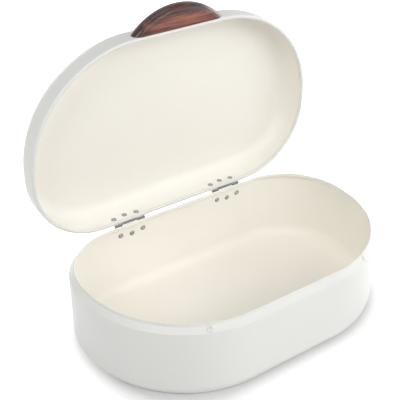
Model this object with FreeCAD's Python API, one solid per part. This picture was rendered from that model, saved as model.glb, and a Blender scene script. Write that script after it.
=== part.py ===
"""Oval sheet-steel bread box with a hinged lid and a half-moon wooden grip.

All sizes are in millimetres. X runs along the length, Y from the front to the
back and Z up. The origin lies on the table, under the middle of the plan. The
lid is built closed and then turned back about the hinge line to where it rests
on the stops of the hinges.
"""
import FreeCAD, Part
import math
import os

V = FreeCAD.Vector
UP = V(0, 0, 1)
RIGHT = V(1, 0, 0)
REAR = V(0, 1, 0)

# ---- plan of the box (outer face of the body wall) -------------------------
LENGTH = 400.0
WIDTH = 240.5
REAR_CORNER = 89.5
END_RUN = 11.0           # straight part of each end, between its two corners

# ---- body ------------------------------------------------------------------
SHEET = 0.9              # painted sheet steel, body and lid
BODY_HEIGHT = 93.0       # table to the crease under the shoulder
FLOOR_RADIUS = 16.0      # outer radius between floor and wall
CREASE_RADIUS = 1.2      # outer radius of the crease
SHOULDER_IN = 6.5        # how far the sloped shoulder runs inwards
SHOULDER_RISE = 5.5      # how far it climbs on the way
LIP_HEIGHT = 3.8         # upright lip above the shoulder
LIP_BEND = 0.5           # inner bend radius at the foot of the lip

# ---- lid -------------------------------------------------------------------
LID_OUTSET = 2.0         # lid wall outside the body wall
LID_LIFT = 3.6           # crease to the underside of the closed rim
BEAD = 4.8               # outside diameter of the rolled rim
BEAD_GAP = 0.35          # slit between the end of the roll and the wall
LID_WALL = 18.5          # rim underside to the start of the rounding
LID_CORNER = 21.0        # outer radius between lid wall and lid top
CROWN_ANGLE = 5.0        # slope of the lid top where the rounding ends
CROWN_SHARE = 0.8        # the crown ends at this share of the rear corner's radius
OPEN_ANGLE = 87.0        # how far the lid is turned back at rest

# ---- hinges ----------------------------------------------------------------
HINGE_X = 75.4           # middle of each hinge from the middle of the box
HINGE_LENGTH = 44.4
HINGE_RISE = 0.8         # hinge axis above the underside of the closed rim
BARREL = 2.7             # outside diameter of the knuckles
LEAF = 0.6               # leaf thickness
PIN_PLAY = 0.05          # radial running fit in the lid's knuckle
BODY_LEAF = 19.2         # hinge axis to the far edge of the body's leaf
LID_LEAF = 18.2          # and of the lid's leaf
END_KNUCKLE = 11.1       # length of each knuckle at the ends of a hinge
LEAF_ROUND = 2.0         # rounded corners of the leaf
KNUCKLE_GAP = 0.5        # between neighbouring knuckles
NOTCH_GAP = 0.5          # between a knuckle and the leaf it turns in
CURL_GAP = 0.2           # slit between the end of a knuckle's roll and its leaf
JOGGLE_ANGLE = 35.0      # bend that steps the body leaf out to the barrel
DOG_LENGTH = 1.0         # stop dogs on the ends of the body leaf's knuckles
DOG_SPAN = 40.0          # width of a dog, in degrees round the pin
DOG_PLAY = 1.5           # play left at the stop, in degrees
JOGGLE_WIDE = 1.0        # bend radius of the joggle on the wall's side
JOGGLE_TIGHT = 0.3
JOGGLE_DROP = 3.0        # how far below the crease the joggle starts
PIN_CHAMFER = 0.25

# ---- rivets (semi-tubular, three to a leaf) --------------------------------
RIVET_PITCH = 16.5
BODY_ROW = 13.2          # hinge axis to the two outer rivets on the body
LID_ROW = 11.4           # and on the lid
RIVET_STEP = 2.0         # the middle rivet sits this much further out
RIVET_SHANK = 3.2
RIVET_HEAD = 7.2
RIVET_HEAD_HIGH = 0.95
RIVET_BORE = 1.8         # hollow end, rolled over inside the box
RIVET_BORE_DEEP = 0.7    # how far the hollow reaches past the wall's inner face
RIVET_ROLL_HIGH = 0.9
RIVET_PLAY = 0.03

# ---- grip and its screws ---------------------------------------------------
GRIP_CHORD = 124.0
GRIP_REACH = 27.0        # how far it stands off the lid wall
GRIP_THICK = 18.0
GRIP_LIFT = 1.0          # rim underside to the flat underside of the grip
GRIP_ROUNDING = 0.45     # edge radius as a share of the thickness
SCREW_X = 22.0
SCREW = 4.0
SCREW_HEAD = 7.6
SCREW_HEAD_HIGH = 2.4
SCREW_HEAD_EDGE = 1.1    # height of the head's rim
SCREW_SLOT = 0.8         # width of the cross slot
SCREW_SLOT_LONG = 4.4
SCREW_SLOT_DEEP = 1.3
SCREW_DEPTH = 14.0       # length inside the wood
SCREW_POINT = 1.0        # length of the tapered point
SCREW_END_ROOM = 0.5     # empty end of the hole in the wood
SCREW_PLAY = 0.03        # in the wood
SCREW_HOLE_PLAY = 0.15   # in the sheet

# ---- bumpers on the shoulder -----------------------------------------------
BUMPER = 7.6
BUMPER_ANGLE = 23.0      # from straight ahead, round the front corner
BUMPER_EDGE = 0.4        # height of the rim of a bumper
REST_GAP = 0.3           # closed rim to the top of a bumper

CUT = 4.0                # how far a cutting tool reaches past what it cuts
OVERLAP = 0.5            # how far fused pieces reach into each other

# ---- derived places --------------------------------------------------------
FRONT_CORNER = WIDTH - REAR_CORNER - END_RUN
HALF_X = LENGTH / 2
HALF_Y = WIDTH / 2
CREASE_Z = BODY_HEIGHT
RIM_Z = CREASE_Z + LID_LIFT
BARREL_R = BARREL / 2
PIN_R = BARREL_R - LEAF
LID_BACK = HALF_Y + LID_OUTSET
AXIS_Y = LID_BACK + BARREL_R
AXIS_Z = RIM_Z + HINGE_RISE
HINGE_SWEEP = 2 * BARREL  # block round the barrel that a notch clears
CURL_ANGLE = 360.0 - math.degrees(math.acos((BARREL_R - LEAF - CURL_GAP) / BARREL_R))


def bent_face(start, heading, steps, left, right, place, round_end=False):
    """Face of a strip that follows a line of straight runs and bends.

    start and heading (degrees) set the line off, steps are ("go", length) or
    ("bend", radius, angle) with left bends positive, left and right are the
    widths on either side of the line and place turns (u, v) into a 3-D point.
    """
    u, v = start
    turn = math.radians(heading)
    sides = {"left": [], "right": []}
    offsets = {"left": left, "right": -right}

    def beside(pu, pv, angle, offset):
        return place(pu - offset * math.sin(angle), pv + offset * math.cos(angle))

    for step in steps:
        if step[0] == "go":
            nu = u + step[1] * math.cos(turn)
            nv = v + step[1] * math.sin(turn)
            for side, offset in offsets.items():
                a = beside(u, v, turn, offset)
                b = beside(nu, nv, turn, offset)
                sides[side].append(Part.makeLine(a, b))
            u, v = nu, nv
            continue
        radius = math.copysign(step[1], step[2])
        sweep = math.radians(step[2])
        cu = u - radius * math.sin(turn)
        cv = v + radius * math.cos(turn)
        spots = []
        for part in (0.0, 0.5, 1.0):
            angle = turn + sweep * part
            spots.append((cu + radius * math.sin(angle), cv - radius * math.cos(angle), angle))
        for side, offset in offsets.items():
            a, b, c = (beside(pu, pv, angle, offset) for pu, pv, angle in spots)
            sides[side].append(Part.Arc(a, b, c).toShape())
        u, v, turn = spots[2]

    first = sides["left"][0].Vertexes[0].Point, sides["right"][0].Vertexes[0].Point
    last = beside(u, v, turn, left), beside(u, v, turn, -right)
    if round_end:
        half = (left + right) / 2
        middle = (left - right) / 2
        tip = place(u - middle * math.sin(turn) + half * math.cos(turn),
                    v + middle * math.cos(turn) + half * math.sin(turn))
        cap = Part.Arc(last[0], tip, last[1]).toShape()
    else:
        cap = Part.makeLine(*last)
    edges = sides["left"] + [cap] + sides["right"][::-1] + [Part.makeLine(*first)]
    return Part.Face(Part.Wire(Part.__sortEdges__(edges)))


def corners(grow=0.0):
    """Corner centres, radii and start angles of the plan, grown outwards by grow."""
    rear_x, rear_y = HALF_X - REAR_CORNER, HALF_Y - REAR_CORNER
    front_x, front_y = HALF_X - FRONT_CORNER, HALF_Y - FRONT_CORNER
    return [(V(rear_x, rear_y, 0), REAR_CORNER + grow, 0.0),
            (V(-rear_x, rear_y, 0), REAR_CORNER + grow, 90.0),
            (V(-front_x, -front_y, 0), FRONT_CORNER + grow, 180.0),
            (V(front_x, -front_y, 0), FRONT_CORNER + grow, 270.0)]


def direction(angle):
    """Unit vector in the plan, angle in degrees from +X."""
    return V(math.cos(math.radians(angle)), math.sin(math.radians(angle)), 0)


def plate(grow, low, high):
    """Solid slab with the plan of the box grown by grow."""
    edges = []
    ring = corners(grow)
    for index, (centre, radius, start) in enumerate(ring):
        a, b, c = (centre + direction(start + swing) * radius for swing in (0, 45, 90))
        edges.append(Part.Arc(a, b, c).toShape())
        follow, follow_r, follow_start = ring[(index + 1) % 4]
        edges.append(Part.makeLine(c, follow + direction(follow_start) * follow_r))
    face = Part.Face(Part.Wire(edges))
    face.translate(V(0, 0, low))
    return face.extrude(V(0, 0, high - low))


def round_the_plan(grow, make_section):
    """Solids of one wall section carried round the plan: four corners, four runs."""
    pieces = []
    ring = corners(grow)
    for index, (centre, radius, start) in enumerate(ring):

        def section(origin, outward):
            return make_section(lambda inset, z: origin - outward * inset + UP * z)

        first = section(centre + direction(start) * radius, direction(start))
        pieces.append(first.revolve(centre, UP, 90))
        follow, follow_r, _ = ring[(index + 1) % 4]
        out = direction(start + 90)
        run_start = centre + out * radius
        run = follow + out * follow_r - run_start
        pieces.append(section(run_start, out).extrude(run))
    return pieces


def cylinder(radius, start, end):
    """Cylinder between two points."""
    axis = end - start
    return Part.makeCylinder(radius, axis.Length, start, axis)


def turned(outline, origin, axis):
    """Solid turned about an axis; outline holds (radius, height) points, where a
    triple of points in a tuple is an arc from the point before it."""
    side = axis.cross(RIGHT) if abs(axis.dot(RIGHT)) < 0.9 else axis.cross(UP)
    side.normalize()

    def at(point):
        return origin + side * point[0] + axis * point[1]

    edges = []
    here = outline[0]
    for item in outline[1:] + [outline[0]]:
        if isinstance(item[0], tuple):
            through, there = item
            edges.append(Part.Arc(at(here), at(through), at(there)).toShape())
        else:
            there = item
            edges.append(Part.makeLine(at(here), at(there)))
        here = there
    return Part.Face(Part.Wire(edges)).revolve(origin, axis, 360)


def cap_point(radius, low, high, share):
    """Point on a spherical cap over a disc, at a share of its radius."""
    rise = high - low
    ball = (radius ** 2 + rise ** 2) / (2 * rise)
    return radius * share, high - ball + math.sqrt(ball ** 2 - (radius * share) ** 2)


def rivet_places(side, towards):
    """Centres of the three rivets of a leaf, in the plane of the hinge axis."""
    places = []
    for step in (-1, 0, 1):
        away = (LID_ROW if towards > 0 else BODY_ROW) + (0 if step else RIVET_STEP)
        places.append(V(side * HINGE_X + step * RIVET_PITCH, 0, AXIS_Z + towards * away))
    return places


def drill_rivets(shape, side, towards, wall):
    """The shape with the rivet holes of one leaf cut through it."""
    for spot in rivet_places(side, towards):
        hole = cylinder(RIVET_SHANK / 2 + RIVET_PLAY,
                        V(spot.x, wall - CUT, spot.z), V(spot.x, wall + CUT, spot.z))
        shape = shape.cut(hole)
    return shape


def screw_places():
    """Where the grip's screws cross the inner face of the lid's front wall."""
    height = RIM_Z + GRIP_LIFT + GRIP_THICK / 2
    return [V(side * SCREW_X, -LID_BACK + SHEET, height) for side in (-1, 1)]


# ---- shells ----------------------------------------------------------------
def body_shell():
    """Floor, wall, sloped shoulder and upright lip, drawn from one sheet."""
    slope = math.degrees(math.atan2(SHOULDER_RISE, SHOULDER_IN))
    tip = 90.0 - slope
    crease_cut = CREASE_RADIUS * math.tan(math.radians(tip / 2))
    lip_cut = LIP_BEND * math.tan(math.radians(tip / 2))
    run = math.hypot(SHOULDER_IN, SHOULDER_RISE) - crease_cut - lip_cut
    inner = FLOOR_RADIUS + CUT
    steps = [("go", inner - FLOOR_RADIUS),
             ("bend", FLOOR_RADIUS, -90.0),
             ("go", CREASE_Z - FLOOR_RADIUS - crease_cut),
             ("bend", CREASE_RADIUS, -tip),
             ("go", run),
             ("bend", LIP_BEND, tip),
             ("go", LIP_HEIGHT - lip_cut - SHEET / 2)]

    def section(place):
        return bent_face((inner, 0.0), 180.0, steps, 0.0, SHEET, place, round_end=True)

    pieces = round_the_plan(0.0, section)
    shell = plate(-inner, 0.0, SHEET).fuse(pieces).removeSplitter()
    for side in (-1, 1):
        shell = drill_rivets(shell, side, -1, HALF_Y)
    return shell


def lid_shell():
    """Dished lid with a rolled rim, built closed."""
    bead_r = BEAD / 2
    middle_r = bead_r - SHEET / 2
    roll = 360.0 - math.degrees(math.acos((middle_r - SHEET - BEAD_GAP) / middle_r))
    flat_edge = CROWN_SHARE * REAR_CORNER
    crown = math.radians(CROWN_ANGLE)
    round_end = LID_CORNER * (1 - math.sin(crown))
    crown_radius = (flat_edge - round_end) / math.sin(crown)
    wall_steps = [("go", LID_WALL - bead_r),
                  ("bend", LID_CORNER, -(90.0 - CROWN_ANGLE)),
                  ("bend", crown_radius, -CROWN_ANGLE),
                  ("go", CUT)]
    top = RIM_Z + LID_WALL + LID_CORNER * math.cos(crown) + crown_radius * (1 - math.cos(crown))

    def wall(place):
        return bent_face((0.0, RIM_Z + bead_r), 90.0, wall_steps, 0.0, SHEET, place)

    def bead(place):
        return bent_face((0.0, RIM_Z + bead_r), 270.0, [("bend", bead_r, roll)],
                         SHEET, 0.0, place, round_end=True)

    walls = round_the_plan(LID_OUTSET, wall)
    beads = round_the_plan(LID_OUTSET, bead)
    middle = plate(LID_OUTSET - flat_edge - CUT, top - SHEET, top)
    shell = middle.fuse(walls + beads).removeSplitter()
    for side in (-1, 1):
        shell = drill_rivets(shell, side, 1, LID_BACK)
    for spot in screw_places():
        hole = cylinder(SCREW / 2 + SCREW_HOLE_PLAY, spot + REAR * CUT, spot - REAR * CUT)
        shell = shell.cut(hole)
    return shell


# ---- hinges ----------------------------------------------------------------
def knuckle_zone(side, outer, extra):
    """X ranges of the outer or the middle knuckles, widened by extra at the joints."""
    left = side * HINGE_X - HINGE_LENGTH / 2
    ends = [left, left + END_KNUCKLE, left + HINGE_LENGTH - END_KNUCKLE, left + HINGE_LENGTH]
    if outer:
        return [(ends[0] - CUT, ends[1] + extra), (ends[2] - extra, ends[3] + CUT)]
    return [(ends[1] - extra, ends[2] + extra)]


def ring_sector(inner, outer, start, end, x, length):
    """Part of a ring round the hinge axis, between two angles from +Y towards +Z."""
    angle = math.radians(start)
    first = (AXIS_Y + outer * math.cos(angle), AXIS_Z + outer * math.sin(angle))
    face = bent_face(first, start + 90.0, [("bend", outer, end - start)], outer - inner, 0.0,
                     lambda y, z: V(x, y, z))
    return face.extrude(V(length, 0, 0))


def leaf_blank(side, low, high):
    """Slab with the outline of a leaf: two rounded corners at its far edge."""
    left = side * HINGE_X - HINGE_LENGTH / 2
    slab = Part.makeBox(HINGE_LENGTH, 2 * HINGE_SWEEP, high - low, V(left, AXIS_Y - HINGE_SWEEP, low))
    far = low if AXIS_Z - low > high - AXIS_Z else high
    rounded = [edge for edge in slab.Edges
               if abs(edge.Vertexes[0].Z - far) < 1e-6 and abs(edge.Vertexes[1].Z - far) < 1e-6
               and abs(edge.Vertexes[0].X - edge.Vertexes[1].X) < 1e-6]
    return slab.makeFillet(LEAF_ROUND, rounded)


def notch(side, outer, low, high):
    """Blocks that clear the other leaf's knuckles."""
    blocks = []
    for start, end in knuckle_zone(side, outer, KNUCKLE_GAP / 2):
        blocks.append(Part.makeBox(end - start, 2 * HINGE_SWEEP, high - low,
                                   V(start, AXIS_Y - HINGE_SWEEP, low)))
    return blocks


def body_leaf(side):
    """Leaf on the body wall: a joggle, two outer knuckles and their stop dogs."""
    slant = math.radians(JOGGLE_ANGLE)
    bends = JOGGLE_WIDE + JOGGLE_TIGHT
    slope_run = (LID_OUTSET - bends * (1 - math.cos(slant))) / math.sin(slant)
    joggle_high = bends * math.sin(slant) + slope_run * math.cos(slant)
    bottom = AXIS_Z - BODY_LEAF
    joggle_start = CREASE_Z - JOGGLE_DROP
    steps = [("go", joggle_start - bottom),
             ("bend", JOGGLE_WIDE, -JOGGLE_ANGLE),
             ("go", slope_run),
             ("bend", JOGGLE_TIGHT, JOGGLE_ANGLE),
             ("go", AXIS_Z - joggle_start - joggle_high),
             ("bend", BARREL_R, -CURL_ANGLE)]
    left = side * HINGE_X - HINGE_LENGTH / 2
    face = bent_face((HALF_Y, bottom), 90.0, steps, 0.0, LEAF, lambda y, z: V(left, y, z))
    leaf = face.extrude(V(HINGE_LENGTH, 0, 0)).common(leaf_blank(side, bottom, AXIS_Z + BARREL))
    leaf = leaf.cut(notch(side, False, AXIS_Z - BARREL_R - NOTCH_GAP, AXIS_Z + BARREL))
    low_angle = 270.0 - DOG_SPAN / 2
    for start, end in knuckle_zone(side, False, KNUCKLE_GAP / 2):
        for x in (start - OVERLAP, end - DOG_LENGTH):
            dog = ring_sector(PIN_R, BARREL_R, low_angle, low_angle + DOG_SPAN,
                              x, DOG_LENGTH + OVERLAP)
            leaf = leaf.fuse(dog)
    return drill_rivets(leaf.removeSplitter(), side, -1, HALF_Y)


def lid_leaf(side):
    """Leaf on the lid wall, built closed: one middle knuckle, cut for the dogs."""
    top = AXIS_Z + LID_LEAF
    left = side * HINGE_X - HINGE_LENGTH / 2
    steps = [("go", LID_LEAF), ("bend", BARREL_R, CURL_ANGLE)]
    face = bent_face((LID_BACK, top), 270.0, steps, LEAF - PIN_PLAY, 0.0,
                     lambda y, z: V(left, y, z))
    leaf = face.extrude(V(HINGE_LENGTH, 0, 0)).common(leaf_blank(side, AXIS_Z - BARREL, top))
    leaf = leaf.cut(notch(side, True, AXIS_Z - BARREL, AXIS_Z + BARREL_R + NOTCH_GAP))
    high_angle = 270.0 + DOG_SPAN / 2 + DOG_PLAY + OPEN_ANGLE
    low_angle = 270.0 - DOG_SPAN / 2 - 2 * DOG_PLAY
    for start, end in knuckle_zone(side, False, 0.0):
        depth = DOG_LENGTH + KNUCKLE_GAP
        for x in (start - OVERLAP, end - depth):
            room = ring_sector(PIN_R / 2, BARREL_R + OVERLAP, low_angle, high_angle,
                               x, depth + OVERLAP)
            leaf = leaf.cut(room)
    return drill_rivets(leaf, side, 1, LID_BACK)


def hinge_pin(side):
    """Steel pin, held in the body leaf's knuckles."""
    start = V(side * HINGE_X - HINGE_LENGTH / 2, AXIS_Y, AXIS_Z)
    pin = cylinder(PIN_R, start, start + RIGHT * HINGE_LENGTH)
    return pin.makeChamfer(PIN_CHAMFER, [edge for edge in pin.Edges if len(edge.Vertexes) == 1])


def rivet(inner, stack):
    """One set rivet: rolled end inside, low head on the leaf outside."""
    shank, head, bore = RIVET_SHANK / 2, RIVET_HEAD / 2, RIVET_BORE / 2
    top = stack + RIVET_HEAD_HIGH
    crest = ((bore + head) / 2 - bore / 8, -RIVET_ROLL_HIGH)
    outline = [(0.0, RIVET_BORE_DEEP), (bore, RIVET_BORE_DEEP), (bore, -RIVET_ROLL_HIGH / 2),
               (crest, (head, 0.0)),
               (shank, 0.0), (shank, stack), (head, stack),
               (cap_point(head, stack, top, 0.5), (0.0, top))]
    return turned(outline, inner, REAR)


def rivets(side, towards):
    """Three rivets of one leaf as separate solids."""
    wall = HALF_Y if towards < 0 else LID_BACK
    leaf = LEAF if towards < 0 else LEAF - PIN_PLAY
    solids = []
    for spot in rivet_places(side, towards):
        solids.append(rivet(V(spot.x, wall - SHEET, spot.z), SHEET + leaf))
    return Part.makeCompound(solids)


# ---- grip ------------------------------------------------------------------
def grip():
    """Half-moon grip with well-rounded edges and two blind screw holes."""
    half = GRIP_CHORD / 2
    low = RIM_Z + GRIP_LIFT
    a, b, c = V(-half, -LID_BACK, low), V(0, -LID_BACK - GRIP_REACH, low), V(half, -LID_BACK, low)
    face = Part.Face(Part.Wire([Part.Arc(a, b, c).toShape(), Part.makeLine(c, a)]))
    wood = face.extrude(V(0, 0, GRIP_THICK))
    arcs = [edge for edge in wood.Edges if edge.Length > GRIP_CHORD * 1.02]
    wood = wood.makeFillet(GRIP_THICK * GRIP_ROUNDING, arcs)
    for spot in screw_places():
        hole = cylinder(SCREW / 2 + SCREW_PLAY, spot,
                        spot - REAR * (SHEET + SCREW_DEPTH + SCREW_END_ROOM))
        wood = wood.cut(hole)
    return wood


def screws():
    """Two pan-head screws, put in from inside the lid."""
    solids = []
    head, end = SCREW_HEAD / 2, -SHEET - SCREW_DEPTH
    for spot in screw_places():
        outline = [(0.0, SCREW_HEAD_HIGH),
                   (cap_point(head, SCREW_HEAD_EDGE, SCREW_HEAD_HIGH, 0.5), (head, SCREW_HEAD_EDGE)),
                   (head, 0.0), (SCREW / 2, 0.0), (SCREW / 2, end + SCREW_POINT),
                   (SCREW / 4, end), (0.0, end)]
        solid = turned(outline, spot, REAR)
        for wide, tall in ((SCREW_SLOT, SCREW_SLOT_LONG), (SCREW_SLOT_LONG, SCREW_SLOT)):
            slot_low = V(spot.x - wide / 2, spot.y + SCREW_HEAD_HIGH - SCREW_SLOT_DEEP,
                         spot.z - tall / 2)
            solid = solid.cut(Part.makeBox(wide, CUT, tall, slot_low))
        solids.append(solid)
    return Part.makeCompound(solids)


# ---- bumpers ---------------------------------------------------------------
def bumper(side, shell):
    """Soft clear dome stuck on the sloped shoulder under the closed rim."""
    slope = math.atan2(SHOULDER_RISE, SHOULDER_IN)
    bead_r = BEAD / 2
    inset = bead_r - LID_OUTSET
    above = LID_LIFT + bead_r
    free = above * math.cos(slope) - inset * math.sin(slope) - bead_r
    high = free - REST_GAP
    centre, radius, _ = corners()[3]
    heading = 270.0 + BUMPER_ANGLE
    out = direction(heading)
    along = inset * math.cos(slope) + above * math.sin(slope)
    spot = centre + out * (radius - along * math.cos(slope)) + UP * (CREASE_Z + along * math.sin(slope))
    normal = out * math.sin(slope) + UP * math.cos(slope)
    half = BUMPER / 2
    outline = [(0.0, -SHEET / 2), (half, -SHEET / 2), (half, BUMPER_EDGE),
               (cap_point(half, BUMPER_EDGE, high, 0.5), (0.0, high))]
    solid = turned(outline, spot, normal)
    if side < 0:
        solid = solid.mirror(V(0, 0, 0), RIGHT)
    return solid.cut(shell)


def opened(shape):
    """Turn a piece of the lid back from closed to where it rests open."""
    moved = shape.copy()
    moved.rotate(V(0, AXIS_Y, AXIS_Z), RIGHT, -OPEN_ANGLE)
    return moved


def main():
    """Build every piece and write each as its own STEP file."""
    body = body_shell()
    nodes = {"base_shell": body, "lid_shell": opened(lid_shell()),
             "lid_grip": opened(grip()), "grip_screws": opened(screws())}
    for name, side in (("left", -1), ("right", 1)):
        nodes["hinge_%s_base_leaf" % name] = body_leaf(side)
        nodes["hinge_%s_lid_leaf" % name] = opened(lid_leaf(side))
        nodes["hinge_%s_pin" % name] = hinge_pin(side)
        nodes["rivets_%s_base" % name] = rivets(side, -1)
        nodes["rivets_%s_lid" % name] = opened(rivets(side, 1))
        nodes["bumper_%s" % name] = bumper(side, body)
    os.makedirs("parts", exist_ok=True)
    for name, shape in nodes.items():
        box = shape.BoundBox
        print("%-24s solids %d valid %s volume %.1f  x %.2f..%.2f  y %.2f..%.2f  z %.2f..%.2f"
              % (name, len(shape.Solids), shape.isValid(), shape.Volume, box.XMin, box.XMax,
                 box.YMin, box.YMax, box.ZMin, box.ZMax))
        shape.exportStep("parts/%s.step" % name)


main()
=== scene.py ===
"""Looks of the oval bread box with a hinged lid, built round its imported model.

The sizes in the classes are in millimetres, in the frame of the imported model: X
runs along the length, Y from the front to the back and Z up, and the origin lies
on the table. The pieces of the lid are shaped closed and then turned back about
the hinge line to where the open lid rests.
"""
import logging
import math
from dataclasses import dataclass, field
from enum import Enum

import bmesh
import bpy
from mathutils import Matrix, Vector


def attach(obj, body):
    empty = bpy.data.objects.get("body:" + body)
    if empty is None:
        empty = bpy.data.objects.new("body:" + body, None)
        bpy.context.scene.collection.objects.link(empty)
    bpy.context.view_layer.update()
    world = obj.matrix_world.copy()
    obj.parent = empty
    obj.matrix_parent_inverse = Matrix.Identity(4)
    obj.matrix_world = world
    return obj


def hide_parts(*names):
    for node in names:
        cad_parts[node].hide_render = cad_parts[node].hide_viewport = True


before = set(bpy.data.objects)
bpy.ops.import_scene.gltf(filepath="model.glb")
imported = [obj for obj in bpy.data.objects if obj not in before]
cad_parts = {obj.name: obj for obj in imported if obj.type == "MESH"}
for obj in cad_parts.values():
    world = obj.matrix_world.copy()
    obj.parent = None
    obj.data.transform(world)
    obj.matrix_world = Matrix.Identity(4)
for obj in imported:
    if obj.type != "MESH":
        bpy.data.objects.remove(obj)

LOG = logging.getLogger("bread_box")
MM = 0.001                    # metres in a millimetre
INSIDE = "inside"             # attribute: 0 on a sheet's outer face, 1 on its inner face
TINY = 1e-6                   # millimetres, below which a radius is a pole
MERGE = 1e-7                  # metres, below which two vertices are one
FULL_TURN = 2 * math.pi
TURNED_EDGE = 35.0            # degrees, above which an edge of a turned part stays sharp

Point = tuple[float, float]


class Body(Enum):
    """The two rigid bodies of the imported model."""

    BASE = "base"
    LID = "lid"


class Slot(Enum):
    """The record's material slots, one named for each kind of new piece."""

    ENAMEL = "body_enamel"
    WOOD = "walnut"
    RIVET = "rivet_steel"
    SCREW = "fastener_steel"
    SILICONE = "clear_silicone"


# ---- small helpers ---------------------------------------------------------
def linear(colour: str) -> tuple[float, float, float, float]:
    """Turn an sRGB hex colour into the linear values that shaders take.

    Args:
        colour: the colour as "#RRGGBB".

    Returns:
        Linear red, green and blue, and an alpha of 1.
    """
    shares = (int(colour[at:at + 2], 16) / 255 for at in (1, 3, 5))
    return (*(s / 12.92 if s <= 0.04045 else ((s + 0.055) / 1.055) ** 2.4 for s in shares), 1.0)


def add(tree: bpy.types.NodeTree, kind: str, sockets: dict | None = None,
        **settings: object) -> bpy.types.Node:
    """Add a node to a tree, with its settings, values and links.

    Args:
        tree: the tree that gets the node.
        kind: the node's type name.
        sockets: for each input, by name or number, its value or the output to link.
        **settings: the node's own properties.

    Returns:
        The new node.
    """
    node = tree.nodes.new(kind)
    for name, value in settings.items():
        setattr(node, name, value)
    for key, value in (sockets or {}).items():
        if isinstance(value, bpy.types.NodeSocket):
            tree.links.new(value, node.inputs[key])
        else:
            node.inputs[key].default_value = value
    return node


def new_material(name: str) -> tuple[bpy.types.Material, bpy.types.NodeTree,
                                     bpy.types.NodeSocket]:
    """Start a node material.

    Args:
        name: name of the material.

    Returns:
        The material, its tree and the socket with Object coordinates.
    """
    material = bpy.data.materials.new(name)
    material.use_nodes = True
    tree = material.node_tree
    tree.nodes.clear()
    return material, tree, add(tree, "ShaderNodeTexCoord").outputs["Object"]


def new_object(name: str, mesh: bpy.types.Mesh) -> bpy.types.Object:
    """Link a mesh into the scene as an object at the origin.

    Args:
        name: name of the object.
        mesh: its mesh.

    Returns:
        The object.
    """
    piece = bpy.data.objects.new(name, mesh)
    bpy.context.scene.collection.objects.link(piece)
    return piece


def plain_mesh(piece: bpy.types.Object) -> bpy.types.Mesh:
    """Return what an object's modifiers make of it, as a mesh of its own."""
    depsgraph = bpy.context.evaluated_depsgraph_get()
    return bpy.data.meshes.new_from_object(piece.evaluated_get(depsgraph))


def mesh_of(name: str, spots: list[Vector] | list[tuple], faces: list[tuple],
            edges: list[tuple] | None = None) -> bpy.types.Mesh:
    """Make a mesh from places in millimetres.

    Args:
        name: name of the mesh.
        spots: the places of its vertices, in millimetres.
        faces: its faces, as vertex numbers.
        edges: its loose edges, as vertex numbers.

    Returns:
        The mesh, in metres.
    """
    mesh = bpy.data.meshes.new(name)
    mesh.from_pydata([Vector(spot) * MM for spot in spots], edges or [], faces)
    return mesh


def tidy_mesh(mesh: bpy.types.Mesh, smooth_below: float = 180.0) -> None:
    """Close a mesh's open loops, turn its faces outwards and shade it smooth.

    Args:
        mesh: the mesh to change.
        smooth_below: edges that bend by more degrees than this stay sharp.
    """
    work = bmesh.new()
    work.from_mesh(mesh)
    bmesh.ops.remove_doubles(work, verts=work.verts, dist=MERGE)
    bmesh.ops.holes_fill(work, edges=[e for e in work.edges if e.is_boundary], sides=0)
    bmesh.ops.recalc_face_normals(work, faces=work.faces)
    for face in work.faces:
        face.smooth = True
    work.to_mesh(mesh)
    work.free()
    mesh.set_sharp_from_angle(angle=math.radians(smooth_below))


def new_tree(name: str, inputs: dict[str, str]) -> tuple[bpy.types.NodeTree, dict]:
    """Start a Geometry Nodes tree with named inputs.

    Args:
        name: name of the tree.
        inputs: the kind of each input, by its name.

    Returns:
        The tree, and its inputs' outgoing sockets by name.
    """
    tree = bpy.data.node_groups.new(name, "GeometryNodeTree")
    for label, kind in {"Geometry": "Geometry", **inputs, "Finish": "Material"}.items():
        tree.interface.new_socket(label, in_out="INPUT", socket_type="NodeSocket" + kind)
    tree.interface.new_socket("Geometry", in_out="OUTPUT",
                              socket_type="NodeSocketGeometry")
    return tree, {socket.name: socket for socket in add(tree, "NodeGroupInput").outputs}


def close_tree(tree: bpy.types.NodeTree, result: bpy.types.NodeSocket,
               finish: bpy.types.NodeSocket) -> bpy.types.NodeTree:
    """End a Geometry Nodes tree in plain geometry that carries its material.

    Args:
        tree: the tree to end.
        result: the geometry that it makes.
        finish: the material.

    Returns:
        The tree.
    """
    real = add(tree, "GeometryNodeRealizeInstances", {"Geometry": result})
    dressed = add(tree, "GeometryNodeSetMaterial",
                  {"Geometry": real.outputs[0], "Material": finish})
    add(tree, "NodeGroupOutput", {"Geometry": dressed.outputs[0]})
    return tree


def run_tree(tree: bpy.types.NodeTree, name: str, seed: bpy.types.Mesh,
             values: dict[str, object]) -> bpy.types.Object:
    """Run a Geometry Nodes tree once on a mesh and keep the result as a plain mesh.

    Args:
        tree: the Geometry Nodes tree.
        name: name of the piece.
        seed: the mesh that goes in.
        values: the value of each input, by its name.

    Returns:
        The piece, with no modifier left on it.
    """
    piece = new_object(name, seed)
    modifier = piece.modifiers.new("build", "NODES")
    modifier.node_group = tree
    for item in tree.interface.items_tree:
        if item.in_out == "INPUT" and item.name in values:
            modifier[item.identifier] = values[item.name]
    made = plain_mesh(piece)
    piece.modifiers.clear()
    piece.data = made
    made.name = name
    return piece


def settle(piece: bpy.types.Object, body: Body, slot: Slot, *nodes: str) -> None:
    """Put a finished piece on its body, in place of CAD nodes, and report it.

    Args:
        piece: the finished piece.
        body: the body that it moves with.
        slot: the record's material slot; not used.
        *nodes: the CAD nodes that it stands for.
    """
    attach(piece, body.value)
    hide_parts(*nodes)
    LOG.info("%s on %s: %d faces", piece.name, body.value, len(piece.data.polygons))


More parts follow.
